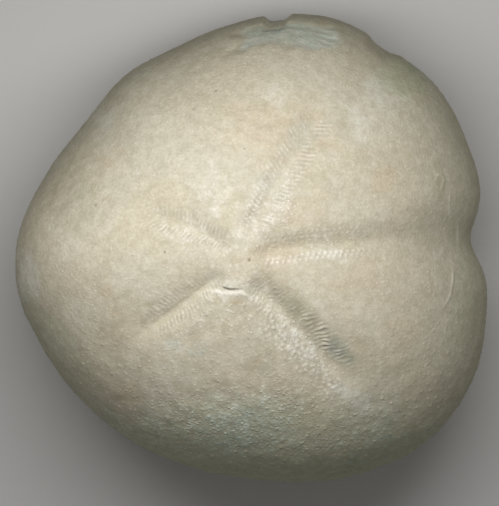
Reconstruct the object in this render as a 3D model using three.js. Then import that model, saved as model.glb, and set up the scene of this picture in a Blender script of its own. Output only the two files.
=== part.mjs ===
// Fossil heart urchin: the limy test of an irregular sea urchin, filled with hardened chalk.
// Millimetres, +Z up. The front, with its notch, points to +X and the animal's left side to +Y.
// The origin is under the middle of the test, on the surface that it rests on.

import * as THREE from 'three';
import { mergeVertices } from 'three/addons/utils/BufferGeometryUtils.js';

// ---------------------------------------------------------------- driving dimensions

const LENGTH = 60;
const WIDTH = 59.4;
const HEIGHT = 38;
const AMBITUS_HEIGHT = 15.5; // level of the widest outline
const FACET_ROWS = 21; // rows of facets along each edge of the starting icosahedron

// Plan outline at the ambitus, without the front notch: [bearing from +X in degrees, radius].
const OUTLINE = [
  [0, 30.2],
  [22, 30.4],
  [40, 31.2],
  [55, 30.7],
  [68, 30.8],
  [80, 30.0],
  [97, 28.1],
  [112, 27.0],
  [125, 27.0],
  [143, 26.3],
  [160, 27.5],
  [176, 29.3],
  [188, 30.3],
  [203, 29.3],
  [228, 28.6],
  [255, 28.5],
  [275, 29.3],
  [293, 31.2],
  [312, 32.9],
  [330, 32.6],
  [346, 30.9],
];

// How full the profile is: 2 is an ellipse, and more is boxier.
const CROWN_FULLNESS = 2.1;
const REAR_FULLNESS = 2.5;
const BASE_FULLNESS = 2.9;
const SUMMIT_LEAN = 3.5; // how far the highest point lies behind the middle

// The petals of the upper side, as V-shaped furrows that start beside the apical disc:
// left front, left rear, right rear and right front.
const PETALS = [
  { x: -0.6, y: 1.6, bearing: 58.8, bend: 0, length: 17.5, halfWidth: 1.7, depth: 0.6 },
  { x: -2.6, y: 0.1, bearing: 151.5, bend: 0.012, length: 11.8, halfWidth: 1.5, depth: 0.85 },
  { x: -3.5, y: -3.2, bearing: 216.3, bend: 0, length: 12, halfWidth: 1.7, depth: 1.15 },
  { x: 0.05, y: -4.1, bearing: 314.6, bend: 0, length: 16.5, halfWidth: 2, depth: 1.5 },
];

// The front groove leaves the apical disc along +X and ends as the notch in the outline.
const GROOVE_AXIS = [-0.69, 0.151, -0.0029]; // y = a + b x + c x^2
const GROOVE_HALF_WIDTH = [1.6, 3.9]; // beside the disc, and at the notch
const GROOVE_DEPTH = [1.2, 2.2];

// The keel from the disc to the rear, and the hollow of the anus high on the rear face.
const KEEL_RISE = 0.7;
const KEEL_HALF_WIDTH = 5;
const ANUS = { bearing: 187, height: 19, halfWidth: 2.6, halfHeight: 3.2, depth: 1.3 };

// The left margin: a broken place where the chalk shows, and two gaps in the shell's edge, below
// the break and in front of it.
const BREAK = { bearing: 80, halfWidth: 6.6, from: 22.6, to: 27.6, wave: 0.3, depth: 0.3 };
const GAPS = [
  { bearing: 83.5, from: -1.5, to: 1.2, softness: 0.6, bottom: 11, top: 23.5, fade: 1.8, depth: 0.85 },
  { bearing: 56.5, from: -1.7, to: 1.9, softness: 1.1, bottom: 11, top: 22, fade: 2.2, depth: 0.5 },
];

// The underside: mouth, lip, plastron, the smooth bands beside it and the two front swellings.
const MOUTH = { x: 17.5, y: 0.8, halfLength: 2.0, halfWidth: 3.4, depth: 2.2 };
const LIP = { x: 14.2, y: 0.8, halfLength: 2.2, halfWidth: 3.4, rise: 0.9 };
const PLASTRON = { x: -6, y: 0, halfLength: 14, halfWidth: 6.5, rise: 1.2 };
const BAND = { offset: 9.5, halfWidth: 3.2, from: -26, to: 14, depth: 0.8 };
const SWELLINGS = [
  { x: 9, y: 14.5, halfLength: 7, halfWidth: 4.5, rise: 1.5 },
  { x: 9, y: -14.5, halfLength: 7, halfWidth: 4.5, rise: 1.5 },
];
const REST_LEVEL = -0.75; // what hangs below this is worn flat, and carries the test

// ---------------------------------------------------------------- small helpers

const { degToRad, smoothstep } = THREE.MathUtils;

// 1 at the middle, falling smoothly to nothing past about twice the half width.
function bump(distance, halfWidth) {
  const ratio = distance / halfWidth;
  return Math.exp(-ratio * ratio);
}

// 1 along a furrow's middle line, falling off to both sides like the walls of a V.
function furrow(across, halfWidth) {
  return Math.exp(0.2 - Math.hypot(across / halfWidth, 0.2));
}

// 1 between two values, with soft edges.
function between(value, from, to, softness) {
  const risen = smoothstep(value, from - softness, from + softness);
  return risen * (1 - smoothstep(value, to - softness, to + softness));
}

// Difference between two bearings in degrees, from -180 to 180.
function turn(bearing, from) {
  return THREE.MathUtils.euclideanModulo(bearing - from + 180, 360) - 180;
}

// A smooth closed curve through the outline's landmarks, as radius over bearing.
function makeOutline(landmarks) {
  const last = landmarks[landmarks.length - 1];
  const before = [last[0] - 360, last[1]];
  const after = landmarks.slice(0, 2).map(([bearing, radius]) => [bearing + 360, radius]);
  const knots = [before, ...landmarks, ...after];
  const bearings = knots.map((knot) => knot[0]);
  const radii = knots.map((knot) => knot[1]);
  const spline = new THREE.CubicInterpolant(bearings, radii, 1);
  return (bearing) => spline.evaluate(THREE.MathUtils.euclideanModulo(bearing, 360))[0];
}

const outlineRadius = makeOutline(OUTLINE);

// ---------------------------------------------------------------- relief, in mm outwards

function petalRelief(x, y, petal) {
  const angle = degToRad(petal.bearing);
  const dx = x - petal.x;
  const dy = y - petal.y;
  const along = dx * Math.cos(angle) + dy * Math.sin(angle);
  const across = dy * Math.cos(angle) - dx * Math.sin(angle) - petal.bend * along * along;
  const ends = smoothstep(along, -1, 2.5) * (1 - smoothstep(along, petal.length - 3, petal.length + 3));
  return -petal.depth * ends * furrow(across, petal.halfWidth);
}

function grooveRelief(x, y, z) {
  const [a, b, c] = GROOVE_AXIS;
  const across = y - (a + b * x + c * x * x);
  const outwards = smoothstep(x, 12, 27);
  const halfWidth = THREE.MathUtils.lerp(GROOVE_HALF_WIDTH[0], GROOVE_HALF_WIDTH[1], outwards);
  const depth = THREE.MathUtils.lerp(GROOVE_DEPTH[0], GROOVE_DEPTH[1], outwards);
  const ends = smoothstep(x, -0.5, 3) * smoothstep(z, -8, AMBITUS_HEIGHT - 3);
  const profile = THREE.MathUtils.lerp(furrow(across, halfWidth), bump(across, halfWidth), outwards);
  return -depth * ends * profile;
}

function keelRelief(x, y) {
  return KEEL_RISE * smoothstep(-x, 2, 14) * bump(y + 0.07 * x, KEEL_HALF_WIDTH);
}

function anusRelief(bearing, radius, z) {
  const sideways = degToRad(turn(bearing, ANUS.bearing)) * radius;
  return -ANUS.depth * bump(sideways, ANUS.halfWidth) * bump(z - ANUS.height, ANUS.halfHeight);
}

function breakRelief(bearing, radius, z) {
  const sideways = degToRad(turn(bearing, BREAK.bearing)) * radius;
  const wavySideways = sideways + 2 * BREAK.wave * Math.sin(1.3 * z);
  const wavyLevel = z + BREAK.wave * (Math.sin(0.7 * sideways) + 0.5 * Math.sin(1.9 * sideways + 1));
  const inWidth = between(wavySideways, -BREAK.halfWidth, BREAK.halfWidth, 0.9);
  return -BREAK.depth * inWidth * between(wavyLevel, BREAK.from, BREAK.to, 0.9);
}

function gapRelief(bearing, radius, z, gap) {
  const sideways = degToRad(turn(bearing, gap.bearing)) * radius;
  const inWidth = between(sideways, gap.from, gap.to, gap.softness);
  return -gap.depth * inWidth * between(z, gap.bottom, gap.top, gap.fade);
}

// A rounded swelling or hollow of the underside.
function patch(x, y, { x: middleX, y: middleY, halfLength, halfWidth }) {
  return bump(x - middleX, halfLength) * bump(y - middleY, halfWidth);
}

function undersideRelief(x, y) {
  const mouth = -MOUTH.depth * patch(x, y, MOUTH);
  const lip = LIP.rise * patch(x, y, LIP);
  const plastron = PLASTRON.rise * patch(x, y, PLASTRON);
  const bandEnds = smoothstep(x, BAND.from, BAND.from + 8) * (1 - smoothstep(x, BAND.to - 5, BAND.to));
  const band = -BAND.depth * bandEnds * bump(Math.abs(y) - BAND.offset, BAND.halfWidth);
  const swellings = SWELLINGS.reduce((sum, place) => sum + place.rise * patch(x, y, place), 0);
  return mouth + lip + plastron + band + swellings;
}

// ---------------------------------------------------------------- the whole form

// The point of the test in a direction seen from the middle of the ambitus.
function surfacePoint(direction) {
  const bearing = THREE.MathUtils.radToDeg(Math.atan2(direction.y, direction.x));
  const level = Math.hypot(direction.x, direction.y);
  const upper = direction.z >= 0;
  const rear = bump(turn(bearing, 186), 40);
  const crown = THREE.MathUtils.lerp(CROWN_FULLNESS, REAR_FULLNESS, rear);
  const fullness = upper ? crown : BASE_FULLNESS;
  const rise = upper ? HEIGHT - AMBITUS_HEIGHT : AMBITUS_HEIGHT;
  const radius = outlineRadius(bearing);
  const sideways = Math.pow(level / radius, fullness);
  const upwards = Math.pow(Math.abs(direction.z) / rise, fullness);
  const reach = Math.pow(sideways + upwards, -1 / fullness);

  const lean = upper ? SUMMIT_LEAN * Math.pow((direction.z * reach) / rise, 2) : 0;

  const x = direction.x * reach - lean;
  const y = direction.y * reach;
  const z = direction.z * reach + AMBITUS_HEIGHT;
  let relief = grooveRelief(x, y, z) + anusRelief(bearing, radius, z);
  relief += breakRelief(bearing, radius, z);
  for (const gap of GAPS) {
    relief += gapRelief(bearing, radius, z, gap);
  }
  if (upper) {
    relief += PETALS.reduce((sum, petal) => sum + petalRelief(x, y, petal), 0);
    relief += keelRelief(x, y) * smoothstep(direction.z, 0, 0.5);
  } else {
    relief += undersideRelief(x, y) * smoothstep(-direction.z, 0.2, 0.7);
  }
  const point = new THREE.Vector3(x, y, z).addScaledVector(direction, relief);
  point.z = Math.max(point.z, REST_LEVEL);
  return point;
}

function makeTestGeometry() {
  const geometry = new THREE.IcosahedronGeometry(1, FACET_ROWS - 1);
  geometry.deleteAttribute('normal');
  geometry.deleteAttribute('uv');
  const merged = mergeVertices(geometry, 1e-5);
  const position = merged.getAttribute('position');
  const direction = new THREE.Vector3();
  for (let i = 0; i < position.count; i += 1) {
    direction.fromBufferAttribute(position, i).normalize();
    const point = surfacePoint(direction);
    position.setXYZ(i, point.x, point.y, point.z);
  }

  // Bring the form to its measured size, standing on z = 0 around the origin.
  merged.computeBoundingBox();
  const { min, max } = merged.boundingBox;
  merged.translate(-(min.x + max.x) / 2, -(min.y + max.y) / 2, -min.z);
  merged.scale(LENGTH / (max.x - min.x), WIDTH / (max.y - min.y), HEIGHT / (max.z - min.z));
  merged.computeVertexNormals();
  return merged;
}

const chalkyCalcite = new THREE.MeshStandardMaterial({ color: 0xcfc6ae, roughness: 0.85, metalness: 0 });

const urchinTest = new THREE.Mesh(makeTestGeometry(), chalkyCalcite);
urchinTest.name = 'urchin_test';

const fossil = new THREE.Group();
fossil.add(urchinTest);

export default fossil;
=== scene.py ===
"""A fossil heart urchin lying on its underside on a pale table, seen from straight above."""

import math

import bmesh
import bpy
import numpy as np
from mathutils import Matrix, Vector


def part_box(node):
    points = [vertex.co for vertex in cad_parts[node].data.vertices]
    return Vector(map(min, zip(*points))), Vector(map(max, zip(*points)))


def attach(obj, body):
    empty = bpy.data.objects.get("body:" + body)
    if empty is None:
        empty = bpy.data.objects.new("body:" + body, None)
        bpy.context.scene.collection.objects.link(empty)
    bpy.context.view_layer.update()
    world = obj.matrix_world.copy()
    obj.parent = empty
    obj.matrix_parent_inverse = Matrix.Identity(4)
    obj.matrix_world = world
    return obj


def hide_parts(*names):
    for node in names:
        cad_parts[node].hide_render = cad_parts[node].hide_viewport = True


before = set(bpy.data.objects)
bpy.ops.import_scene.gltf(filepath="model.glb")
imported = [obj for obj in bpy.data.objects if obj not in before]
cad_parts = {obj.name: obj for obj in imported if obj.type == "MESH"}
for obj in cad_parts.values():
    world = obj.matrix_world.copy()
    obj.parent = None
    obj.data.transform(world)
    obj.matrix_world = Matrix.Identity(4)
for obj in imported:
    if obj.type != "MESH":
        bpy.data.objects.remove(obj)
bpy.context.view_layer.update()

MM = 0.001
AMBITUS_HEIGHT = 15.5  # level of the widest outline, in mm above the table

# ------------------------------------------------------------------ camera

LENS = 500.0
SENSOR = 36.0
FIELD = 64.3 * MM  # what the camera sees from front to back, at the widest level
AIM = Vector((-0.2, -0.7)) * MM  # the middle of its view, close to the middle of the test


def add_camera():
    data = bpy.data.cameras.new("camera")
    data.lens = LENS
    data.sensor_width = SENSOR
    data.clip_start = 0.05
    data.clip_end = 10
    camera = bpy.data.objects.new("camera", data)
    distance = FIELD * LENS / SENSOR
    camera.location = (AIM.x, AIM.y, AMBITUS_HEIGHT * MM + distance)
    bpy.context.scene.collection.objects.link(camera)
    bpy.context.scene.camera = camera


# ------------------------------------------------------------------ helpers for shapes, all in mm

def bump(distance, half_width):
    """1 at the middle, falling smoothly to nothing past about twice the half width."""
    return np.exp(-(distance / half_width) ** 2)


def ease(value, low, high):
    """0 below low, 1 above high, and smooth between."""
    t = np.clip((value - low) / (high - low), 0, 1)
    return t * t * (3 - 2 * t)


def between(value, low, high, softness):
    """1 between two values, with soft edges."""
    return ease(value, low - softness, low + softness) * (1 - ease(value, high - softness, high + softness))


def mix(low, high, share):
    return low + (high - low) * share


def turn(bearing, start):
    """Difference between bearings in degrees, from -180 to 180."""
    return (bearing - start + 180) % 360 - 180


def closed_curve(landmarks, bearing):
    """Radius at each bearing, on smooth cubic pieces through the landmarks."""
    at, radius = np.array(landmarks, float).T
    at = np.concatenate((at[-2:] - 360, at, at[:3] + 360))
    radius = np.concatenate((radius[-2:], radius, radius[:3]))
    slope = np.diff(radius) / np.diff(at)
    tangent = np.concatenate(([0], (slope[:-1] + slope[1:]) / 2, [0]))
    i = np.searchsorted(at, bearing, side="right") - 1
    step = at[i + 1] - at[i]
    t = (bearing - at[i]) / step
    return ((2 * t ** 3 - 3 * t ** 2 + 1) * radius[i] + (3 * t ** 2 - 2 * t ** 3) * radius[i + 1]
            + (t ** 3 - 2 * t ** 2 + t) * step * tangent[i] + (t ** 3 - t ** 2) * step * tangent[i + 1])


def to_polyline(x, y, points):
    """Distance to a line through the points, and the share of it that the nearest place has passed."""
    points = np.array(points, float)
    lengths = np.hypot(*np.diff(points, axis=0).T)
    passed = np.concatenate(([0], np.cumsum(lengths)))
    nearest = np.full(x.shape, 1e9)
    share = np.zeros(x.shape)
    for (x0, y0), (x1, y1), length, before in zip(points[:-1], points[1:], lengths, passed):
        along = np.clip(((x - x0) * (x1 - x0) + (y - y0) * (y1 - y0)) / length ** 2, 0, 1)
        distance = np.hypot(x - x0 - along * (x1 - x0), y - y0 - along * (y1 - y0))
        closer = distance < nearest
        nearest = np.where(closer, distance, nearest)
        share = np.where(closer, (before + along * length) / passed[-1], share)
    return nearest, share


LATTICE_SIZE = 32
LATTICE = np.random.default_rng(7).uniform(-1, 1, (LATTICE_SIZE,) * 3)


def grain(point, size, offset=0.0):
    """Smooth noise from -1 to 1, in lumps of about that size."""
    scaled = point / size + offset
    cell = np.floor(scaled).astype(int)
    t = scaled - cell
    t = t * t * (3 - 2 * t)
    total = np.zeros(len(point))
    for corner in np.ndindex(2, 2, 2):
        i, j, k = ((cell + corner) % LATTICE_SIZE).T
        weight = np.prod(np.where(corner, t, 1 - t), axis=1)
        total += weight * LATTICE[i, j, k]
    return total


# ------------------------------------------------------------------ the form of the test

CROWN_RISE = 38 - AMBITUS_HEIGHT

# How full the profile is: 2 is an ellipse, and more is boxier.
CROWN_FULLNESS = 2.1
REAR_FULLNESS = 2.5
BASE_FULLNESS = 2.9
SUMMIT_LEAN = 3.5  # how far the highest point lies behind the middle
REST_LEVEL = -0.75  # what hangs below this is worn flat, and carries the test

# Plan outline at the ambitus, without the front notch: bearing from +X in degrees, and radius.
OUTLINE = [
    (0, 30.2), (22, 30.4), (40, 31.2), (55, 30.7), (68, 30.8), (80, 30.0), (97, 28.1),
    (112, 27.0), (125, 27.0), (143, 26.3), (160, 27.5), (176, 29.3), (188, 30.3), (203, 29.3),
    (228, 28.6), (255, 28.5), (275, 29.3), (293, 31.2), (312, 32.9), (330, 32.6), (346, 30.9),
]

# The petals: left front, left rear, right rear and right front.
# For each: start beside the disc, bearing, bend, length, groove, and its two columns of pores:
# their distance from the middle line at the start and further out, and the pitch of their ridges.
# For the column on each side: how wide and how bold it is at the start and further out, how far its
# ridges are reduced to two rows of beads, how unevenly they run, how dark are the gaps between
# them, and how dark is the column as a whole: both darkenings are painted shade, in the gaps and on
# the groove wall that faces away from the light.
PETALS = [
    dict(x=-0.6, y=1.6, bearing=58.8, bend=0.0, length=17.5, half_width=1.7, depth=0.6,
         columns=(0.9, 1.4), pitch=0.53,
         left=dict(wide=(0.75, 0.65), bold=(1.3, 0.5), rows=1.0, bent=0.2, dark=0.14, wall_shade=0.10),
         right=dict(wide=(0.65, 1.0), bold=(1.3, 1.2), rows=0.3, bent=0.2, dark=0.13, wall_shade=0.03)),
    dict(x=-2.6, y=0.1, bearing=151.5, bend=0.012, length=11.8, half_width=1.5, depth=0.85,
         columns=(0.6, 1.15), pitch=0.47,
         left=dict(wide=(0.6, 0.6), bold=(1.3, 1.1), rows=0.5, bent=0.4, dark=0.15, wall_shade=0.0),
         right=dict(wide=(0.6, 0.6), bold=(0.9, 0.8), rows=0.4, bent=0.3, dark=0.16, wall_shade=0.10)),
    dict(x=-3.5, y=-3.2, bearing=216.3, bend=0.0, length=12.0, half_width=1.7, depth=1.15,
         columns=(0.6, 1.3), pitch=0.48,
         left=dict(wide=(0.55, 0.55), bold=(1.0, 0.8), rows=0.7, bent=0.3, dark=0.13, wall_shade=0.0),
         right=dict(wide=(0.65, 0.7), bold=(0.4, 0.5), rows=0.3, bent=0.4, dark=0.13, wall_shade=0.10)),
    dict(x=0.05, y=-4.1, bearing=314.6, bend=0.0, length=16.5, half_width=2.0, depth=1.5,
         columns=(0.8, 1.6), pitch=0.53,
         left=dict(wide=(0.8, 1.35), bold=(0.5, 1.3), rows=0.0, bent=0.6, dark=0.08, wall_shade=0.22),
         right=dict(wide=(0.8, 0.9), bold=(0.5, 0.2), rows=0.6, bent=0.4, dark=0.12, wall_shade=0.0)),
]
RIGHT_REAR, RIGHT_FRONT = PETALS[2:]

# The front groove leaves the apical disc along +X and ends as the notch in the outline.
GROOVE_AXIS = (-0.69, 0.151, -0.0029)  # y = a + b x + c x^2
GROOVE_HALF_WIDTH = (1.6, 3.9)  # beside the disc, and at the notch
GROOVE_DEPTH = (1.2, 2.2)

# The hollow of the anus high on the rear face, the mouth below the front, and the broken place at
# the left margin.
ANUS_BEARING, ANUS_LEVEL = 187, 19
MOUTH_Y = 0.8
BREAK_BEARING, BREAK_HALF_WIDTH = 80, 6.6
BREAK_LEVELS = (22.6, 27.6)
BREAK_RADIUS = 30  # the outline's radius there

# The gaps in the shell's edge: below the break, and a flat chip in front of it.
GAPS = [
    dict(bearing=83.5, start=-1.5, end=1.2, softness=0.6, bottom=11, top=23.5, fade=1.8, depth=0.85),
    dict(bearing=56.5, start=-1.7, end=1.9, softness=1.1, bottom=11, top=22, fade=2.2, depth=0.5),
]


def petal_place(x, y, petal):
    """Distance along a petal's middle line, and across it."""
    angle = math.radians(petal["bearing"])
    dx, dy = x - petal["x"], y - petal["y"]
    along = dx * math.cos(angle) + dy * math.sin(angle)
    across = dy * math.cos(angle) - dx * math.sin(angle) - petal["bend"] * along ** 2
    return along, across


def furrow(across, half_width):
    """1 along a furrow's middle line, falling off to both sides like the walls of a V."""
    return np.exp(0.2 - np.hypot(across / half_width, 0.2))


def petal_groove(x, y, petal):
    along, across = petal_place(x, y, petal)
    ends = ease(along, -1, 2.5) * (1 - ease(along, petal["length"] - 3, petal["length"] + 3))
    return -petal["depth"] * ends * furrow(across, petal["half_width"])


def groove_place(x, y):
    a, b, c = GROOVE_AXIS
    return y - (a + b * x + c * x * x)


def front_groove(x, y, z):
    outwards = ease(x, 12, 27)
    half_width = mix(*GROOVE_HALF_WIDTH, outwards)
    depth = mix(*GROOVE_DEPTH, outwards)
    ends = ease(x, -0.5, 3) * ease(z, -8, AMBITUS_HEIGHT - 3)
    across = groove_place(x, y)
    return -depth * ends * mix(furrow(across, half_width), bump(across, half_width), outwards)


def keel(x, y):
    return 0.7 * ease(-x, 2, 14) * bump(y + 0.07 * x, 5)


def beside(bearing, middle, radius):
    """How far along the outline a bearing lies from the middle's bearing, in mm."""
    return np.radians(turn(bearing, middle)) * radius


def anus_hollow(bearing, radius, z):
    return -1.3 * bump(beside(bearing, ANUS_BEARING, radius), 2.6) * bump(z - ANUS_LEVEL, 3.2)


def break_share(bearing, z, radius=BREAK_RADIUS):
    """1 where the shell is broken away at the left margin, so that the chalk shows."""
    sideways = beside(bearing, BREAK_BEARING, radius)
    wavy_sideways = sideways + 0.6 * np.sin(1.3 * z)
    wavy_level = z + 0.3 * np.sin(0.7 * sideways) + 0.15 * np.sin(1.9 * sideways + 1)
    in_width = between(wavy_sideways, -BREAK_HALF_WIDTH, BREAK_HALF_WIDTH, 0.9)
    return in_width * between(wavy_level, *BREAK_LEVELS, 0.9)


def gap_depth(bearing, radius, z, gap):
    """How far a gap draws in the shell's edge, in mm."""
    sideways = beside(bearing, gap["bearing"], radius)
    in_width = between(sideways, gap["start"], gap["end"], gap["softness"])
    return gap["depth"] * in_width * between(z, gap["bottom"], gap["top"], gap["fade"])


def underside(x, y):
    mouth = -2.2 * bump(x - 17.5, 2.0) * bump(y - MOUTH_Y, 3.4)
    lip = 0.9 * bump(x - 14.2, 2.2) * bump(y - MOUTH_Y, 3.4)
    plastron = 1.2 * bump(x + 6, 14) * bump(y, 6.5)
    bands = -0.8 * ease(x, -26, -18) * (1 - ease(x, 9, 14)) * bump(np.abs(y) - 9.5, 3.2)
    swellings = 1.5 * bump(x - 9, 7) * (bump(y - 14.5, 4.5) + bump(y + 14.5, 4.5))
    return mouth + lip + plastron + bands + swellings


def form(direction):
    """The points of the test in these directions from the middle of its widest level."""
    bearing = np.degrees(np.arctan2(direction[:, 1], direction[:, 0])) % 360
    upper = direction[:, 2] >= 0
    rear = bump(turn(bearing, 186), 40)
    fullness = np.where(upper, mix(CROWN_FULLNESS, REAR_FULLNESS, rear), BASE_FULLNESS)
    rise = np.where(upper, CROWN_RISE, AMBITUS_HEIGHT)
    radius = closed_curve(OUTLINE, bearing)
    sideways = (np.hypot(direction[:, 0], direction[:, 1]) / radius) ** fullness
    upwards = (np.abs(direction[:, 2]) / rise) ** fullness
    reach = (sideways + upwards) ** (-1 / fullness)
    point = direction * reach[:, None]
    point[:, 0] -= np.where(upper, SUMMIT_LEAN * (point[:, 2] / rise) ** 2, 0)
    point[:, 2] += AMBITUS_HEIGHT

    x, y, z = point.T
    relief = front_groove(x, y, z) + anus_hollow(bearing, radius, z)
    relief -= 0.3 * break_share(bearing, z, radius)
    relief -= sum(gap_depth(bearing, radius, z, gap) for gap in GAPS)
    crown = sum(petal_groove(x, y, petal) for petal in PETALS)
    crown += keel(x, y) * ease(direction[:, 2], 0, 0.5)
    relief += np.where(upper, crown, underside(x, y) * ease(-direction[:, 2], 0.2, 0.7))
    point += direction * relief[:, None]
    point[:, 2] = np.maximum(point[:, 2], REST_LEVEL)
    return point


class Fit:
    """Moves and stretches the form so that it fills the CAD node's box."""

    def __init__(self, sample, low, high):
        self.low = np.array(low) / MM
        self.start = sample.min(axis=0)
        self.scale = (np.array(high) - np.array(low)) / MM / (sample.max(axis=0) - self.start)

    def __call__(self, direction):
        return (form(direction) - self.start) * self.scale + self.low


# ------------------------------------------------------------------ fine relief of the upper side

# Places in mm: the cracked step behind the disc, the disc with its pore, single beads, pin-hole
# pits, and a short crack.
SLIT = [(-3.8, -4.8), (-3.4, -5.05), (-2.7, -5.25), (-1.4, -5.25), (-0.4, -5.5), (0.2, -5.75)]
LIP_LINE = [(-7.0, -5.9), (-5.6, -5.35), (-4.4, -5.25), (-3.5, -5.6), (-2.9, -5.65), (-2.3, -5.5),
            (-1.5, -5.45), (-0.8, -5.65), (0.1, -6.2), (1.6, -7.6)]
DISC = (-0.9, -1.2)
OPEN_PORE = (-0.22, -1.6)
DISC_BEADS = [(-1.7, 0.0), (-0.45, 0.05), (-2.6, -0.3), (-1.7, -2.2), (-2.5, -2.2), (-4.8, -2.4),
              (-5.2, -6.4), (-3.0, 0.5), (-0.6, -2.9), (0.5, -3.2)]
FRONT_BEADS = [(3.1, 0.4), (8.1, 1.3), (9.3, 2.2), (9.3, 1.3), (9.9, 0.2), (10.3, 2.9), (12.6, 1.5)]
PITS = [(-7.2, 17.3), (-4.4, 19.6), (-0.8, 12.3), (-19.4, 5.3), (-10.7, -0.6)]
DASH = [(14.5, -19.1), (16.0, -19.4), (17.3, -19.9)]
STRIP_MIDDLE = -2.3  # of the beads beside the right front petal, across from its middle line
STRIP_HALF_WIDTH = 1.6

# Thin raised lines: the points of each, its half width and its height.
LINES = [
    ([(25.4, -2.5), (25.3, -4.4), (25.0, -6.0), (24.1, -7.6)], 0.16, 0.10),
    ([(26.1, 3.0), (26.15, 0.0)], 0.15, 0.06),
    ([(25.0, 6.8), (25.0, 4.1)], 0.15, 0.06),
    ([(24.5, 0.3), (23.5, -1.4)], 0.25, 0.05),
    ([(23.1, 8.3), (23.3, 9.0), (23.8, 9.1), (24.2, 8.5), (23.9, 7.3)], 0.16, 0.07),
    ([(-9.7, -1.3), (-17.0, -2.1), (-24.3, -2.9)], 0.10, 0.025),
    ([(-14.5, -3.7), (-19.0, -4.2)], 0.14, 0.02),
]


def scattered(u, v, pitch):
    """Distance to the nearest of points that are strewn about one pitch apart."""
    u, v = u / pitch, v / pitch
    cell_u, cell_v = np.floor(u).astype(int), np.floor(v).astype(int)
    nearest = np.full(u.shape, 9.0)
    for du in (-1, 0, 1):
        for dv in (-1, 0, 1):
            i, j = cell_u + du, cell_v + dv
            at = i % LATTICE_SIZE, j % LATTICE_SIZE
            spot_u = i + 0.5 + 0.4 * LATTICE[at + (3,)]
            spot_v = j + 0.5 + 0.4 * LATTICE[at + (9,)]
            nearest = np.minimum(nearest, np.hypot(u - spot_u, v - spot_v))
    return nearest * pitch


def petal_ends(along, length):
    """1 along a petal's columns of pores, fading out at both ends."""
    return ease(along, 0.2, 1.6) * (1 - ease(along, length - 2.5, length + 1.0))


def column_spacing(along, petal):
    """Distance of the columns of pores from the petal's middle line."""
    return mix(*petal["columns"], ease(along, 0, petal["length"] * 0.5))


def outer_share(along, petal):
    """0 in the inner part of a petal and 1 in its outer part."""
    return ease(along / petal["length"], 0.3, 0.75)


def pore_column(point, petal, side, look):
    """Ridges and beads of one column of a petal's pores: height, share of painted shade in the gaps and on
    the groove wall, and bead share, which is partly painted highlight on the ridges.
    """
    along, across = petal_place(point[:, 0], point[:, 1], petal)
    outwards = side * across - column_spacing(along, petal)
    outer = outer_share(along, petal)
    wide = mix(*look["wide"], outer)
    ends = petal_ends(along, petal["length"])
    bold = mix(*look["bold"], outer) * ends * np.maximum(0.8 + 0.7 * grain(point, 1.1, 2.9), 0.1)
    count = along / petal["pitch"] * (1 - 0.09 * along / petal["length"])
    slant = 0.5 + 0.4 * outer
    wave = 0.5 + 0.5 * np.cos(2 * np.pi * (count - slant * outwards + look["bent"] * grain(point, 0.9)))
    inside = bold * np.exp(-(outwards / wide) ** 4)
    rows = bump(np.abs(outwards) - 0.6 * wide, 0.2)
    strokes = np.clip(0.6 + 1.2 * grain(point, 0.7, 7.7), 0.05, 1.2)
    ridge = inside * wave * mix(strokes, rows, look["rows"])
    gap = inside * (1 - wave)
    # Painted shade: the column is darkened on the groove wall that faces away from the light, and in the
    # gaps between its ridges; the ridges are made lighter, partly as painted highlight.
    shade = look["wall_shade"] * ends * bump(outwards, wide + 0.35) * (1 + 0.6 * grain(point, 0.8, 6.6))
    return 0.10 * ridge - 0.03 * gap, look["dark"] * gap + shade, 1.5 * ridge


def beaded_strip(point):
    """Small beads strewn over a strip beside the right front petal."""
    along, across = petal_place(point[:, 0], point[:, 1], RIGHT_FRONT)
    wide = np.exp(-((across - STRIP_MIDDLE) / STRIP_HALF_WIDTH) ** 4)
    strip = wide * petal_ends(along, RIGHT_FRONT["length"] + 2)
    uneven = np.maximum(1 + 0.9 * grain(point, 0.9, 1.7), 0.2)
    bead = strip * uneven * bump(scattered(along, across, 0.66), 0.2)
    return 0.09 * bead, 0.10 * strip - 0.10 * bead, 1.4 * bead


def front_rows(x, y):
    """The beads and small pores on both sides of the front groove."""
    across = groove_place(x, y)
    ends = ease(x, 0.8, 2.2) * (1 - ease(x, 11, 16))
    lower = np.where(across < 0, 1.0, 0.4)
    row = np.zeros(x.shape)
    for offset, phase in ((1.15, 0.0), (1.66, 0.35)):
        wave = np.cos(2 * np.pi * (x / 0.71 + phase))
        row += bump(np.abs(across) - offset, 0.2) * (0.5 + 0.5 * wave) ** 1.3
    bead = ends * lower * row + sum(bump(np.hypot(x - a, y - b), 0.19) for a, b in FRONT_BEADS)
    gap = ends * lower * bump(np.abs(across) - 1.4, 0.55) * (1 - np.minimum(row, 1))
    # Painted shade on the groove's upper wall, which faces away from the light, and in the gaps between the
    # beads; the beads are made lighter, partly as painted highlight.
    wall_shade = 0.14 * ends * bump(across - 1.4, 0.8)
    return 0.10 * bead - 0.03 * gap, wall_shade + 0.07 * gap, 1.6 * bead


def apical_disc(x, y):
    height = 0.04 * (1 - ease(np.hypot(x - DISC[0], y - DISC[1]), 1.0, 2.2))
    open_pore = 1.15 * bump(np.hypot(x - OPEN_PORE[0], y - OPEN_PORE[1]), 0.13)
    bead = sum(bump(np.hypot(x - a, y - b), 0.17) for a, b in DISC_BEADS)
    return height - 0.4 * open_pore + 0.06 * bead, open_pore, 1.2 * bead


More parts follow.
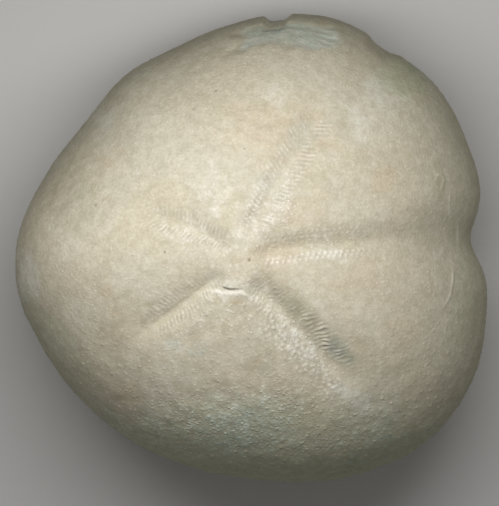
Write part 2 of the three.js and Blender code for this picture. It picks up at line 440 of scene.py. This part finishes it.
def rear_crease(point):
    """The thin second furrow of the right rear petal, and the small beads beside it."""
    along, across = petal_place(point[:, 0], point[:, 1], RIGHT_REAR)
    ends = ease(along, 1.5, 4) * (1 - ease(along, 10, 12))
    # The furrow is darkened as painted shade.
    crease = ends * bump(across + 0.1, 0.16)
    bead = 0.7 * ends * bump(across + 0.5, 0.15) * (0.5 + 0.5 * np.cos(2 * np.pi * along / 0.5)) ** 2
    return 0.05 * bead - 0.07 * crease, 0.12 * crease, bead


def below_lip(x, y):
    """Distance below the line of plate edges behind the disc."""
    line_x, line_y = np.array(LIP_LINE).T
    return np.interp(x, line_x, line_y) - y


def slit_and_lip(x, y):
    """The cracked step behind the disc: a narrow slit, and the scalloped plate edges below it."""
    distance, share = to_polyline(x, y, SLIT)
    slit = bump(distance, 0.11) * ease(share, 0, 0.15) * (1 - ease(share, 0.4, 0.75))
    below = below_lip(x, y)
    width = ease(x, -6.8, -5.0) * (1 - ease(x, -0.3, 1.4))
    step = 0.20 * ease(below, -0.15, 0.3) * np.exp(-np.maximum(below, 0) / 2.5) * width
    valley = -0.12 * bump(x + 3.15, 0.35) * ease(below, 0.0, 0.4) * np.exp(-np.maximum(below, 0) / 1.2)
    # The rim along the plate edges is made lighter, partly as painted highlight on the edge that faces the
    # light.
    rim = bump(below - 0.08, 0.24) * width * (1.1 + 0.4 * np.sin(4.1 * x))
    return step + valley + 0.04 * rim - 0.4 * slit, 0.8 * slit, 1.2 * rim


def small_damage(x, y):
    """Pin-hole pits and one short dark crack."""
    pits = sum(bump(np.hypot(x - a, y - b), 0.13) for a, b in PITS)
    distance, share = to_polyline(x, y, DASH)
    dash = bump(distance, 0.12) * ease(share, 0, 0.1) * (1 - ease(share, 0.9, 1))
    return -0.12 * pits - 0.06 * dash, np.maximum(0.6 * pits, 0.35 * dash), 0 * pits


def raised_lines(x, y):
    height = np.zeros(x.shape)
    for points, half_width, rise in LINES:
        distance, share = to_polyline(x, y, points)
        taper = ease(share, -0.02, 0.25) * (1 - ease(share, 0.75, 1.02))
        height += rise * bump(distance, half_width) * (0.4 + 0.6 * taper)
    # The lines are made lighter as they rise, partly as painted highlight.
    return height, 0 * height, 9 * height


def broken_chalk(point, share):
    """Ledges of chalk in the break, where the layers end one above the other."""
    level = point[:, 2] + 0.4 * grain(point, 2.6) + 0.15 * np.sin(point[:, 0] * 0.7)
    layers = (level / 1.15) % 1
    broken = np.maximum(0.3 + 0.9 * grain(point, 2.4, 13.0), 0)
    rough = 0.6 * grain(point, 0.8, 4.1) + 0.4 * grain(point, 2.0, 9.1)
    streak = share * broken * bump(layers - 0.3, 0.2)
    return 0.06 * streak + 0.06 * share * rough, 0 * streak, 1.2 * streak


def from_anus(bearing, z):
    """Distance from the middle of the anus, where 1 is its edge."""
    return np.hypot(turn(bearing, ANUS_BEARING) / 3.2, (z - ANUS_LEVEL) / 2.3)


def from_mouth(x, y):
    """Distance from the middle of the mouth, where 1 is its edge."""
    return np.hypot((x - 17.3) / 1.5, (y - MOUTH_Y) / 2.8)


def opening(out):
    """A chalk-filled opening with a slightly darker edge: its height and pore share."""
    edge = bump(out - 1.0, 0.22)
    return -0.35 * (1 - ease(out, 0.6, 1.2)) - 0.06 * edge, 0.12 * edge


def relief_on(point, upper):
    """Fine relief of each point in mm along the surface's normal, and its shares of hole and shade,
    which is dark, in holes and cracks and as painted shade in gaps, creases and on groove walls, and
    bead, which is light, partly as painted highlight."""
    x, y, z = point.T
    bearing = np.degrees(np.arctan2(y, x)) % 360
    parts = [pore_column(point, petal, side, petal[name]) for petal in PETALS
             for side, name in ((1, "left"), (-1, "right"))]
    parts += [beaded_strip(point), rear_crease(point), front_rows(x, y), apical_disc(x, y),
              slit_and_lip(x, y), small_damage(x, y), raised_lines(x, y),
              broken_chalk(point, break_share(bearing, z))]
    hummocks = 0.03 + 0.05 * ease(-y, 4, 18)
    height = 0.07 * grain(point, 5.0) + hummocks * grain(point, 1.6, 11.3) + 0.015 * grain(point, 0.7, 5.7)
    hole_and_shade = np.zeros(len(point))
    bead = np.zeros(len(point))
    for rise, hole_and_shade_share, bead_share in parts:
        height += np.where(upper, rise, 0)
        hole_and_shade = np.maximum(hole_and_shade, np.where(upper, hole_and_shade_share, 0))
        bead = np.maximum(bead, np.where(upper, bead_share, 0))
    for out, present in ((from_anus(bearing, z), True), (from_mouth(x, y), ~upper)):
        rise, edge = opening(out)
        height += np.where(present, rise, 0)
        hole_and_shade = np.maximum(hole_and_shade, np.where(present, edge, 0))
    return height, hole_and_shade, bead


# ------------------------------------------------------------------ stains of the upper side

# Each: middle, half length and half width in mm, turn in degrees, and strength.
GREY_STAINS = [
    (-1.4, -23.2, 6.8, 3.4, 0, 0.45), (-6.2, -12.7, 1.6, 1.6, 0, 0.5), (-9.3, -12.0, 1.2, 1.0, 0, 0.4),
    (6.6, 13.8, 1.5, 2.4, -25, 0.45), (2.0, -15.0, 1.4, 1.6, 0, 0.5), (11.2, -13.0, 2.2, 1.5, -46, 0.7),
    (16.0, -26.0, 6.0, 1.6, 30, 0.5),
]
GREEN_STAINS = [
    (2.0, -24.5, 26.0, 6.5, 0, 0.8), (19.0, 21.5, 3.0, 3.0, 0, 0.9), (6.0, 27.0, 8.0, 2.2, -6, 0.45),
    (-24.5, -13.0, 9.0, 3.0, -52, 0.6), (27.5, -8.0, 2.0, 7.0, 0, 0.5), (-21.0, 8.0, 3.0, 3.0, 0, 0.3),
    (6.0, -8.0, 3.0, 1.2, -46, 0.5),
]
BEADY_PATCHES = [
    (2.4, 5.2, 4.6, 2.6, 60, 1.0), (5.0, -10.6, 9.0, 1.8, -45, 0.9), (-1.0, -21.5, 18.0, 5.5, 0, 0.6),
    (-1.0, -8.6, 4.5, 2.6, -10, 0.5), (-6.4, -8.0, 5.0, 1.0, 38, 0.8), (6.0, 0.6, 8.0, 2.4, 6, 0.5),
    (-3.0, 1.0, 2.4, 1.6, 0, 0.6), (-5.4, 5.2, 2.2, 2.0, 0, 0.6), (-9.0, 1.0, 5.0, 2.0, -20, 0.4),
    (-4.5, -21.8, 7.5, 3.6, 0, 1.0), (3.0, -19.0, 4.0, 2.6, 0, 0.9),
]
CHALK_PATCHES = [
    (-3.8, 3.9, 0.6, 1.1, 0, 1.0), (-4.9, 6.8, 0.5, 0.9, 0, 0.7), (-8.0, 1.4, 5.0, 2.4, -25, 0.5),
    (13.6, 15.0, 1.7, 2.3, 0, 0.7), (2.8, 19.3, 1.7, 1.6, 0, 0.7), (-5.0, 9.4, 0.8, 2.0, 10, 0.6),
    (-9.5, -12.4, 1.8, 1.2, 0, 0.5), (-6.0, -12.4, 2.0, 1.4, 0, 0.5), (7.0, -13.0, 6.5, 1.6, -47, 0.6),
    (5.6, -1.6, 4.6, 0.9, 4, 0.5), (-4.0, -23.0, 7.0, 3.4, 5, 0.75), (2.5, -20.5, 3.0, 1.2, 0, 0.6),
    (-28.0, -4.0, 1.4, 3.0, 0, 1.0), (-18.5, 16.5, 2.4, 1.2, 40, 0.8), (22.2, -0.3, 0.5, 0.8, 0, 0.5),
    (11.0, -20.5, 4.4, 3.0, 15, 1.0), (5.0, 26.9, 6.0, 1.6, -4, 0.9), (-11.0, -18.5, 2.5, 2.5, 0, 0.7),
    (-3.1, -6.2, 0.5, 0.9, 0, 1.0), (-2.8, -5.5, 2.4, 0.5, -4, 1.0), (0.0, -6.2, 1.6, 0.6, -30, 0.9),
    (1.5, 5.0, 6.0, 3.0, 58, 0.8), (-4.5, 6.8, 2.4, 3.0, 0, 0.6), (11.3, -1.0, 2.6, 1.0, 0, 0.6),
    (-0.8, -5.0, 2.4, 1.2, 0, 0.6), (17.5, 18.5, 4.0, 2.5, -40, 0.6), (0.0, -22.5, 22.0, 5.0, 0, 0.6),
]
WARM_PATCHES = [
    (3.0, 14.0, 9.5, 4.5, 0, 0.55), (6.5, 5.0, 4.0, 2.6, 10, 0.7), (16.6, 8.4, 2.2, 2.0, 0, 0.9),
    (-16.8, 11.0, 2.0, 2.2, 0, 0.6), (-17.0, -7.0, 1.4, 2.4, 0, 0.6), (9.0, -21.0, 3.8, 3.2, 0, 0.7),
    (-4.1, -6.6, 0.8, 0.5, 0, 0.9), (-2.0, -6.8, 0.7, 0.4, 0, 0.9), (18.8, -10.6, 3.0, 2.0, 0, 0.5),
    (2.0, -2.0, 7.0, 3.2, 0, 0.6), (-15.5, -19.0, 2.0, 2.6, 0, 0.6), (9.0, 28.3, 1.8, 0.5, 0, 1.0),
    (-3.0, 28.0, 1.6, 0.6, 15, 0.6), (14.0, -4.0, 5.0, 4.0, 0, 0.5),
]
DULL_PATCHES = [
    (13.5, -13.5, 4.5, 2.8, -45, 0.7), (-16.0, -8.5, 5.0, 3.0, 30, 0.7), (6.2, -7.6, 6.0, 1.5, -46, 1.0),
    (1.0, -13.5, 3.0, 3.0, 0, 0.6), (12.5, 3.0, 5.0, 1.0, 8, 0.5), (-22.0, 5.0, 4.0, 5.0, -10, 0.6),
    (23.5, 8.5, 1.4, 2.4, 0, 0.7), (12.0, 15.5, 1.4, 1.2, 0, 0.7), (-8.0, 14.0, 2.0, 2.0, 0, 0.3),
]
STAINS = {"grey": GREY_STAINS, "green": GREEN_STAINS, "chalk": CHALK_PATCHES, "warm": WARM_PATCHES,
          "dull": DULL_PATCHES, "beady": BEADY_PATCHES}


def stained(x, y, stains):
    """The strongest of these stains at each point."""
    share = np.zeros(x.shape)
    for middle_x, middle_y, half_length, half_width, angle, strength in stains:
        c, s = math.cos(math.radians(angle)), math.sin(math.radians(angle))
        u = ((x - middle_x) * c + (y - middle_y) * s) / half_length
        v = ((y - middle_y) * c - (x - middle_x) * s) / half_width
        share = np.maximum(share, strength * (1 - ease(np.hypot(u, v), 0.5, 1.4)))
    return share


def stains_on(point, upper):
    """The share of each stain at each point, by name."""
    x, y, z = point.T
    drift = 0.9 * grain(point, 2.2, 3.3)
    shares = {}
    for shift, (name, stains) in enumerate(STAINS.items()):
        below = 0.25 * (1 + grain(point, 6.0, 7.0 * shift))
        shares[name] = np.where(upper, stained(x + drift, y - drift, stains), below)
    bearing = np.degrees(np.arctan2(y, x)) % 360
    broken = break_share(bearing, z)
    shares["grey"] = np.maximum(shares["grey"], 0.7 * broken)
    shares["chalk"] = np.maximum(shares["chalk"], broken)
    return shares


# ------------------------------------------------------------------ the mesh

LIGHT_KNOB = 0.22  # a tubercle this high, in mm, is as light as a full bead


def unit(vectors):
    return vectors / np.linalg.norm(vectors, axis=1)[:, None]


def directions_of(bm):
    return unit(np.array([v.co[:] for v in bm.verts]))


def edges_of(bm, point):
    """The two vertices of each edge, and its length."""
    ends = np.array([(e.verts[0].index, e.verts[1].index) for e in bm.edges])
    return ends, np.linalg.norm(point[ends[:, 0]] - point[ends[:, 1]], axis=1)


def halve(bm, edges, grid_fill):
    """Halves the edges, and keeps the mesh in triangles and its vertices on the sphere."""
    bmesh.ops.subdivide_edges(bm, edges=edges, cuts=1, use_grid_fill=grid_fill)
    bmesh.ops.triangulate(bm, faces=[f for f in bm.faces if len(f.verts) > 3])
    bm.verts.index_update()
    for vert in bm.verts:
        vert.co.normalize()


def petal_zones(x, y):
    """The columns of pores and the strip of beads, each with how long an edge may be there."""
    for petal in PETALS:
        along, across = petal_place(x, y, petal)
        inside = (along > -0.3) & (along < petal["length"] + 0.8)
        for side, look in ((1, petal["left"]), (-1, petal["right"])):
            outwards = np.abs(side * across - column_spacing(along, petal))
            wide = mix(*look["wide"], outer_share(along, petal)) + 0.15
            yield inside & (outwards < wide + 0.5), 0.26
            yield inside & (outwards < wide), 0.15
    along, across = petal_place(x, y, RIGHT_FRONT)
    in_strip = np.abs(across - STRIP_MIDDLE) < STRIP_HALF_WIDTH + 0.1
    yield in_strip & (along > 0) & (along < 18), 0.18


def disc_zones(x, y):
    """The rows of the front groove, the disc, and the step behind it."""
    yield (np.abs(np.abs(groove_place(x, y)) - 1.4) < 0.5) & (x > 0.5) & (x < 15), 0.14
    yield np.hypot(x - DISC[0], y - DISC[1]) < 2.4, 0.16
    yield to_polyline(x, y, SLIT)[0] < 0.4, 0.08
    yield (np.abs(below_lip(x, y)) < 0.5) & (np.abs(x + 3) < 4), 0.13


def mark_zones(x, y):
    """The pits, and the raised lines that are high enough to see."""
    for pit_x, pit_y in PITS:
        yield np.hypot(x - pit_x, y - pit_y) < 0.35, 0.09
    for points, _, rise in LINES:
        if rise > 0.03:
            yield to_polyline(x, y, points)[0] < 0.5, 0.16


def wanted_edge(point, upper):
    """How long an edge may be at each point, in mm."""
    x, y, z = point.T
    bearing = np.degrees(np.arctan2(y, x)) % 360
    want = np.where(z > 9, 0.66, 0.9)
    for zones in (petal_zones, disc_zones, mark_zones):
        for zone, length in zones(x, y):
            want = np.where(upper & zone, np.minimum(want, length), want)
    by_opening = (from_anus(bearing, z) < 1.4) | (~upper & (from_mouth(x, y) < 1.4))
    want = np.where(by_opening, 0.22, want)
    return np.where(break_share(bearing, z) > 0.02, 0.24, want)


def refine(bm, place, passes):
    """Halves each edge that is much longer than wanted."""
    for _ in range(passes):
        direction = directions_of(bm)
        point = place(direction)
        ends, length = edges_of(bm, point)
        middle = (point[ends[:, 0]] + point[ends[:, 1]]) / 2
        upper = direction[ends[:, 0], 2] + direction[ends[:, 1], 2] > 0
        long = np.nonzero(length > 1.4 * wanted_edge(middle, upper))[0]
        if not len(long):
            return
        bm.edges.ensure_lookup_table()
        halve(bm, [bm.edges[i] for i in long], True)


def spread_out(point, spacing, allowed, rng):
    """Picks points at random that stay at least their spacing apart."""
    cell = 2.0  # wider than any spacing, so that only neighbouring cells are searched
    kept = {}
    picked = []
    for i in rng.permutation(np.nonzero(allowed)[0]):
        spot = point[i]
        a, b, c = (int(v // cell) for v in spot)
        near = [other for da in (-1, 0, 1) for db in (-1, 0, 1) for dc in (-1, 0, 1)
                for other in kept.get((a + da, b + db, c + dc), ())]
        if all(np.dot(spot - other, spot - other) > spacing[i] ** 2 for other in near):
            kept.setdefault((a, b, c), []).append(spot)
            picked.append(i)
    return picked


def ring_around(bm, knobs, place, radius):
    """Splits the edges that meet at each knob, draws the new ring in to the radius, and lists it."""
    bm.verts.ensure_lookup_table()
    spokes = {edge for i in knobs for edge in bm.verts[i].link_edges}
    halve(bm, list(spokes), False)
    bm.verts.ensure_lookup_table()
    point = place(directions_of(bm))
    rings = []
    for i, size in zip(knobs, radius):
        vert = bm.verts[i]
        ring = [edge.other_vert(vert) for edge in vert.link_edges]
        for other in ring:
            reach = np.linalg.norm(point[other.index] - point[i])
            other.co = vert.co.lerp(other.co, size / reach).normalized()
        rings.append([other.index for other in ring])
    return rings


def shortest_edges(bm, point):
    """The length of the shortest edge at each vertex."""
    ends, length = edges_of(bm, point)
    shortest = np.full(len(point), np.inf)
    np.minimum.at(shortest, ends[:, 0], length)
    np.minimum.at(shortest, ends[:, 1], length)
    return shortest


def tubercle_room(point, upper, shortest):
    """Where a tubercle fits: on the coarse mesh, off the resting flats and the smooth bands."""
    x, y, z = point.T
    smooth_band = ~upper & (np.abs(np.abs(y) - 9.5) < 3) & (x > -26) & (x < 13)
    return (wanted_edge(point, upper) > 0.5) & (shortest > 0.36) & (z > 0.8) & ~smooth_band


def tubercle_kinds(point, upper):
    """Radius of the tubercles of each place, their height as a share of it, and their spacing."""
    x, y, z = point.T
    plastron = ~upper & (np.abs(y) < 9) & (x > -26) & (x < 15)
    low_flank = 1 - ease(z, 8, 18)
    strong = np.maximum(low_flank, 0.2 + 0.8 * ease(-y, 6, 20))
    size = np.where(plastron, 0.4, 0.27 + 0.04 * low_flank)
    slope = np.where(plastron, 0.5, 0.10 + 0.09 * strong)
    spacing = np.where(plastron, 1.5, 1.1 + 0.35 * grain(point, 4.0))
    return size, slope, spacing


def add_tubercles(bm, place, rng):
    """Gives the mesh a round knob at each tubercle, and returns how high each vertex is raised."""
    direction = directions_of(bm)
    point = place(direction)
    upper = direction[:, 2] > 0
    shortest = shortest_edges(bm, point)
    size, slope, spacing = tubercle_kinds(point, upper)
    knobs = spread_out(point, spacing, tubercle_room(point, upper, shortest), rng)
    radius = np.minimum(size[knobs] * rng.uniform(0.75, 1.15, len(knobs)), 0.85 * shortest[knobs])
    height = radius * slope[knobs] * rng.uniform(0.4, 1.2, len(knobs))
    feet = ring_around(bm, knobs, place, radius)
    shoulders = ring_around(bm, knobs, place, radius * 0.55)
    rise = np.zeros(len(bm.verts))
    for i, foot, shoulder, top in zip(knobs, feet, shoulders, height):
        rise[foot] = -0.06 * top
        rise[shoulder] = 0.78 * top
        rise[i] = top
    return rise


def move_to(bm, spots):
    for vert, spot in zip(bm.verts, spots):
        vert.co = spot


def make_sphere(rng):
    """The sphere that is shaped, with slightly uneven corners to hide its pattern, and its fit."""
    bm = bmesh.new()
    bmesh.ops.create_icosphere(bm, subdivisions=6, radius=1)
    place = Fit(form(directions_of(bm)), *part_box("urchin_test"))
    for vert in bm.verts:
        vert.co = (vert.co + Vector(rng.uniform(-0.004, 0.004, 3))).normalized()
    return bm, place


def make_test():
    rng = np.random.default_rng(11)
    bm, place = make_sphere(rng)
    refine(bm, place, 6)
    knob_rise = add_tubercles(bm, place, rng)

    direction = directions_of(bm)
    point = place(direction)
    upper = direction[:, 2] > 0
    move_to(bm, point)
    bm.normal_update()
    normal = np.array([v.normal[:] for v in bm.verts])
    height, hole_and_shade, bead = relief_on(point, upper)
    height = (height + knob_rise) * ease(point[:, 2], 0.0, 0.6)
    move_to(bm, (point + normal * height[:, None]) * MM)

    mesh = bpy.data.meshes.new("heart_urchin")
    bm.to_mesh(mesh)
    bm.free()
    # The tops of the tubercles are made lighter by their height, partly as painted highlight.
    bead = np.maximum(bead, knob_rise / LIGHT_KNOB)
    for name, share in {"hole_and_shade": hole_and_shade, "bead": bead, **stains_on(point, upper)}.items():
        mesh.attributes.new(name, "FLOAT", "POINT").data.foreach_set("value", share)
    mesh.shade_smooth()
    test = bpy.data.objects.new("heart_urchin", mesh)
    bpy.context.scene.collection.objects.link(test)
    return test


# ------------------------------------------------------------------ finishes

class Value:
    """An output of a node tree that plain arithmetic can use."""

    def __init__(self, finish, socket):
        self.finish = finish
        self.socket = socket

    def math(self, operation, first, second):
        return self.finish.node("ShaderNodeMath", {"operation": operation}, {0: first, 1: second})

    def __add__(self, other):
        return self.math("ADD", self, other)

    def __sub__(self, other):
        return self.math("SUBTRACT", self, other)

    def __rsub__(self, other):
        return self.math("SUBTRACT", other, self)

    def __mul__(self, other):
        return self.math("MULTIPLY", self, other)

    __radd__ = __add__
    __rmul__ = __mul__


class Finish:
    """A material under construction."""

    def __init__(self, name):
        self.material = bpy.data.materials.new(name)
        self.material.use_nodes = True
        self.tree = self.material.node_tree
        self.tree.nodes.clear()

    def node(self, kind, settings=None, inputs=None, output=0):
        made = self.tree.nodes.new(kind)
        for name, value in (settings or {}).items():
            setattr(made, name, value)
        for name, value in (inputs or {}).items():
            if isinstance(value, Value):
                self.tree.links.new(value.socket, made.inputs[name])
            else:
                made.inputs[name].default_value = value
        return Value(self, made.outputs[output]) if made.outputs else None

    def place(self):
        """Where a point is on the object, in mm."""
        at = self.node("ShaderNodeTexCoord", output="Object")
        return self.node("ShaderNodeVectorMath", {"operation": "SCALE"}, {0: at, "Scale": 1 / MM})

    def noise(self, at, size, detail=3.0, roughness=0.5):
        return self.node("ShaderNodeTexNoise", {}, {"Vector": at, "Scale": 1 / size, "Detail": detail,
                                                    "Roughness": roughness})

    def band(self, value, low, high):
        """0 below low, 1 above high, and smooth between."""
        return self.node("ShaderNodeMapRange", {"interpolation_type": "SMOOTHSTEP"},
                         {"Value": value, "From Min": low, "From Max": high})

    def blend(self, share, first, second):
        """A colour between two colours."""
        return self.node("ShaderNodeMix", {"data_type": "RGBA"}, {0: share, 6: first, 7: second}, 2)

    def tint(self, share, colour, tint):
        """A colour multiplied by a tint, as far as the share says."""
        return self.node("ShaderNodeMix", {"data_type": "RGBA", "blend_type": "MULTIPLY"},
                         {0: share, 6: colour, 7: tint}, 2)

    def patchy(self, name, uneven):
        """A stain's share, broken up by uneven noise."""
        share = self.attribute(name)
        return self.band(share + (uneven - 0.5) * 1.6 * self.band(share, 0, 0.4), 0.1, 0.95)

    def attribute(self, name):
        return self.node("ShaderNodeAttribute", {"attribute_name": name}, output="Fac")


STAIN_TINTS = {
    "warm": (1.0, 0.95, 0.92, 1),
    "dull": (0.87, 0.86, 0.82, 1),
    "grey": (0.88, 0.97, 1.02, 1),
    "green": (0.93, 1.0, 0.95, 1),
    "chalk": (1.12, 1.15, 1.22, 1),
}


def stained_chalk(finish, at):
    """The pale chalky colour, with painted shade that darkens it lower down, towards the margin and on the
    underside, and with its stains and its mottle.
    """
    patches = finish.band(finish.noise(at, 7.0, 3), 0.4, 0.6)
    colour = finish.blend(patches, (0.840, 0.762, 0.590, 1), (0.865, 0.808, 0.647, 1))
    level = finish.node("ShaderNodeSeparateXYZ", {}, {0: at}, "Z")
    # Painted shade: the colour is blended towards a dark olive grey below the crown, more the lower the
    # point lies, standing in for light that falls off towards the margin.
    painted_height_shade = 1 - finish.band(level, 14, 40)
    colour = finish.blend(painted_height_shade * 0.8, colour, (0.46, 0.435, 0.31, 1))
    uneven = finish.noise(at, 1.0, 5, 0.65)
    for name, tint in STAIN_TINTS.items():
        colour = finish.tint(finish.patchy(name, uneven), colour, tint)
    mottle = finish.band(finish.noise(at, 1.3, 5, 0.72), 0.32, 0.68)
    colour = finish.tint(mottle, colour, (0.84, 0.83, 0.80, 1))
    specks = finish.band(finish.noise(at, 0.32, 2, 0.6), 0.35, 0.65)
    return finish.tint(specks, colour, (0.90, 0.895, 0.88, 1))


def small_dots(finish, at):
    """1 on tiny grains that are strewn everywhere."""
    grains = finish.node("ShaderNodeTexVoronoi", {"feature": "F1"}, {"Vector": at, "Scale": 1 / 0.62},
                         "Distance")
    return 1 - finish.band(grains, 0.12, 0.36)


def fossil_chalk():
    finish = Finish("fossil_chalk")
    at = finish.place()
    dots = small_dots(finish, at)
    ripples = finish.noise(at, 1.0, 4, 0.65)
    beady = finish.attribute("beady")
    sparse = finish.band(finish.noise(at, 2.0), 0.40, 0.60)
    strewn = dots * (sparse * 0.5 * (1 - beady) + beady * 0.8)
    # The tiny grains, and in beaded patches the crests of the ripples, are made lighter, partly as painted
    # highlight.
    light = finish.attribute("bead") * 0.8 + strewn + finish.band(ripples, 0.5, 0.66) * beady * 0.9

    colour = stained_chalk(finish, at)
    # In beaded patches the ground between the grains is a little darker, partly real tone and partly
    # painted shade between the grains.
    colour = finish.tint(beady * (1 - dots), colour, (0.93, 0.925, 0.91, 1))
    # Beads, ridges, rims and grains are lighter, partly as painted highlight.
    colour = finish.tint(light, colour, (1.22, 1.24, 1.33, 1))
    # Dark in holes and cracks, and painted shade in gaps, creases and on groove walls.
    colour = finish.blend(finish.attribute("hole_and_shade") * 0.9, colour, (0.10, 0.075, 0.045, 1))

    fine = finish.noise(at, 0.28, 3, 0.6)
    height = dots * (beady * 0.6 + 0.35) + fine * 0.6 + ripples * beady * 3.6
    relief = finish.node("ShaderNodeBump", {}, {"Height": height, "Strength": 0.7,
                                                "Distance": 0.09 * MM})
    surface = finish.node("ShaderNodeBsdfPrincipled", {}, {"Base Color": colour, "Roughness": 0.8,
                                                           "Normal": relief,
                                                           "Specular IOR Level": 0.3})
    finish.node("ShaderNodeOutputMaterial", {}, {"Surface": surface})
    return finish.material


def plain_matt(name, colour):
    finish = Finish(name)
    surface = finish.node("ShaderNodeBsdfPrincipled", {}, {"Base Color": colour, "Roughness": 0.9})
    finish.node("ShaderNodeOutputMaterial", {}, {"Surface": surface})
    return finish.material


# ------------------------------------------------------------------ room

def add_floor():
    bm = bmesh.new()
    bmesh.ops.create_grid(bm, x_segments=1, y_segments=1, size=2)
    mesh = bpy.data.meshes.new("floor")
    bm.to_mesh(mesh)
    bm.free()
    floor = bpy.data.objects.new("floor", mesh)
    floor.data.materials.append(plain_matt("pale_table", (0.8, 0.79, 0.77, 1)))
    bpy.context.scene.collection.objects.link(floor)


def add_light(name, location, size, power):
    data = bpy.data.lights.new(name, "AREA")
    data.shape = "RECTANGLE"
    data.size, data.size_y = size
    data.energy = power
    light = bpy.data.objects.new(name, data)
    light.location = location
    light.rotation_mode = "QUATERNION"
    light.rotation_quaternion = (Vector((0, 0, 0.02)) - light.location).to_track_quat("-Z", "Y")
    light.visible_camera = False
    bpy.context.scene.collection.objects.link(light)


def add_world(strength):
    world = bpy.data.worlds.new("world")
    world.use_nodes = True
    background = world.node_tree.nodes["Background"]
    background.inputs["Color"].default_value = (1, 1, 1, 1)
    background.inputs["Strength"].default_value = strength
    bpy.context.scene.world = world


# ------------------------------------------------------------------ assembly

add_camera()
test = make_test()
test.data.materials.append(fossil_chalk())
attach(test, "root")
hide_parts("urchin_test")

add_floor()
add_light("key", location=(-0.002, 0.022, 0.105), size=(0.12, 0.03), power=0.063)
add_world(strength=0.13)
bpy.context.scene.view_settings.view_transform = "Standard"
